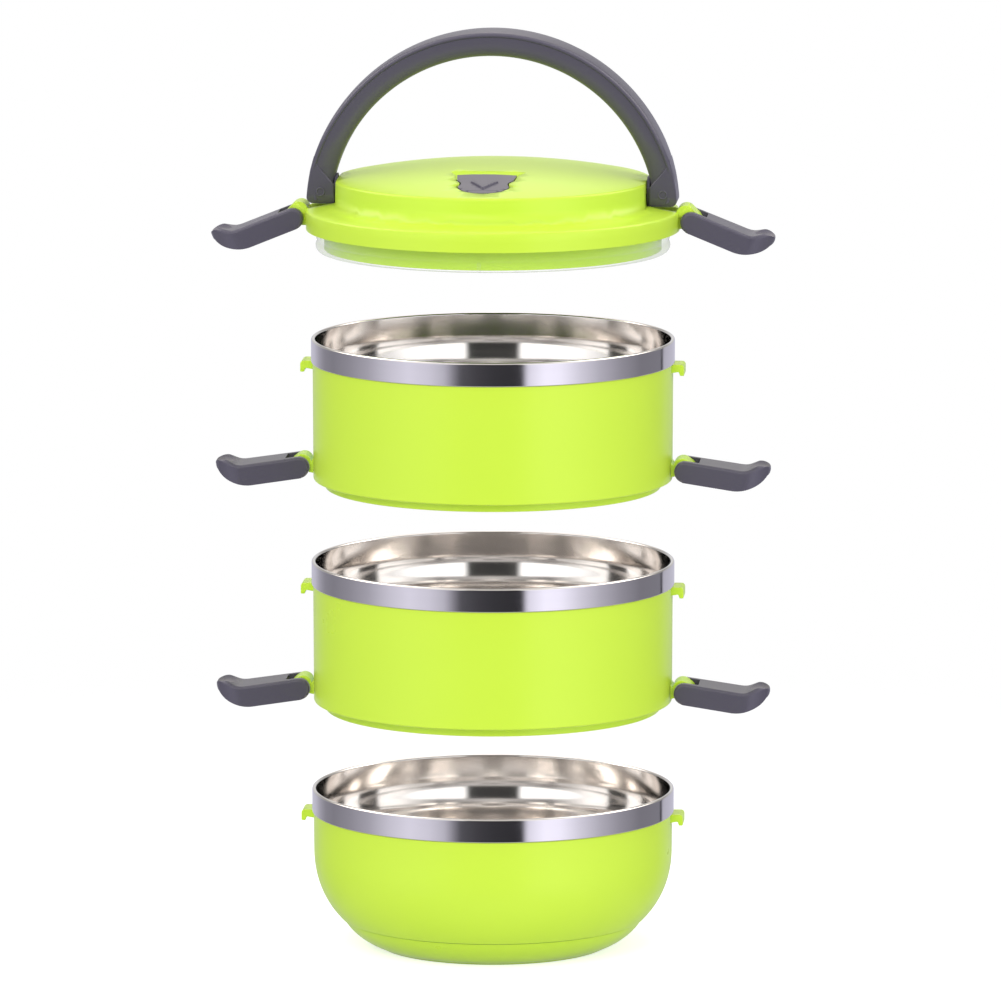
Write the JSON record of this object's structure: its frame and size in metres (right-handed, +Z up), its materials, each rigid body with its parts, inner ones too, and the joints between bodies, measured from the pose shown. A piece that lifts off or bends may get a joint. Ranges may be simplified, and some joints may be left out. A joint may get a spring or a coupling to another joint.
{
  "type": "tiffin carrier",
  "caption": "Stacked food carrier: rounded bowl, straight tiers with steel liners, and a domed lid with an arched carrying handle, hooked together by hinged side levers.",
  "frame": {"origin": "centre of the bowl's foot, in the plane the carrier stands on", "axes": "+Z up through the stack, +X towards the right-hand levers, -Y towards the front, where the steam vent is"},
  "size_m": [0.217, 0.1442, 0.3561],
  "materials": {
    "shell_green": "moulded plastic, satin to gloss",
    "inner_green": "moulded plastic, gloss",
    "grip_grey": "moulded plastic, fine matt",
    "liner_steel": "polished inside and outside",
    "pin_steel": "turned",
    "seal_clear": "translucent silicone, smooth"
  },
  "bodies": {
    "bowl": {"bowl_shell": "shell_green", "bowl_liner": "liner_steel", "bowl_base": "shell_green"},
    "lower_tier": {"lower_shell": "shell_green", "lower_liner": "liner_steel", "lower_base": "shell_green", "lower_latch_pin_left": "pin_steel", "lower_latch_pin_right": "pin_steel"},
    "upper_tier": {"upper_shell": "shell_green", "upper_liner": "liner_steel", "upper_base": "shell_green", "upper_latch_pin_left": "pin_steel", "upper_latch_pin_right": "pin_steel"},
    "lid": {"lid_shell": "shell_green", "lid_inner": "inner_green", "lid_seal": "seal_clear", "vent_flap_pin": "pin_steel", "handle_pin_left": "pin_steel", "handle_pin_right": "pin_steel", "lid_latch_pin_left": "pin_steel", "lid_latch_pin_right": "pin_steel"},
    "handle": {"handle": "grip_grey"},
    "vent": {"vent_flap": "grip_grey", "vent_plug": "seal_clear"},
    "lower_left_latch": {"lower_latch_left": "grip_grey"},
    "lower_right_latch": {"lower_latch_right": "grip_grey"},
    "upper_left_latch": {"upper_latch_left": "grip_grey"},
    "upper_right_latch": {"upper_latch_right": "grip_grey"},
    "lid_left_latch": {"lid_latch_left": "grip_grey"},
    "lid_right_latch": {"lid_latch_right": "grip_grey"}
  },
  "joints": [
    {"name": "lower_tier_lift", "type": "slide", "parent": "bowl", "child": "lower_tier", "axis": [0, 0, 1], "range_m": [-0.0342, 0]},
    {"name": "upper_tier_lift", "type": "slide", "parent": "lower_tier", "child": "upper_tier", "axis": [0, 0, 1], "range_m": [-0.0318, 0]},
    {"name": "lid_lift", "type": "slide", "parent": "upper_tier", "child": "lid", "axis": [0, 0, 1], "range_m": [-0.0422, 0]},
    {"name": "handle_swing", "type": "hinge", "parent": "lid", "child": "handle", "pos_m": [0, 0, 0.2939], "axis": [1, 0, 0], "range_deg": [-12, 12]},
    {"name": "vent_flap_hinge", "type": "hinge", "parent": "lid", "child": "vent", "pos_m": [0, -0.0502, 0.29854], "axis": [1, 0, 0], "range_deg": [0, 20]},
    {"name": "lower_left_latch_hinge", "type": "hinge", "parent": "lower_tier", "child": "lower_left_latch", "pos_m": [-0.0748, 0, 0.1003], "axis": [0, 1, 0], "range_deg": [-81.5, 0]},
    {"name": "lower_right_latch_hinge", "type": "hinge", "parent": "lower_tier", "child": "lower_right_latch", "pos_m": [0.0748, 0, 0.1003], "axis": [0, -1, 0], "range_deg": [-81.5, 0]},
    {"name": "upper_left_latch_hinge", "type": "hinge", "parent": "upper_tier", "child": "upper_left_latch", "pos_m": [-0.0748, 0, 0.1869], "axis": [0, 1, 0], "range_deg": [-81.5, 0]},
    {"name": "upper_right_latch_hinge", "type": "hinge", "parent": "upper_tier", "child": "upper_right_latch", "pos_m": [0.0748, 0, 0.1869], "axis": [0, -1, 0], "range_deg": [-81.5, 0]},
    {"name": "lid_left_latch_hinge", "type": "hinge", "parent": "lid", "child": "lid_left_latch", "pos_m": [-0.0769, 0, 0.2834], "axis": [0, 1, 0], "range_deg": [-68, 13.5]},
    {"name": "lid_right_latch_hinge", "type": "hinge", "parent": "lid", "child": "lid_right_latch", "pos_m": [0.0769, 0, 0.2834], "axis": [0, -1, 0], "range_deg": [-68, 13.5]}
  ]
}
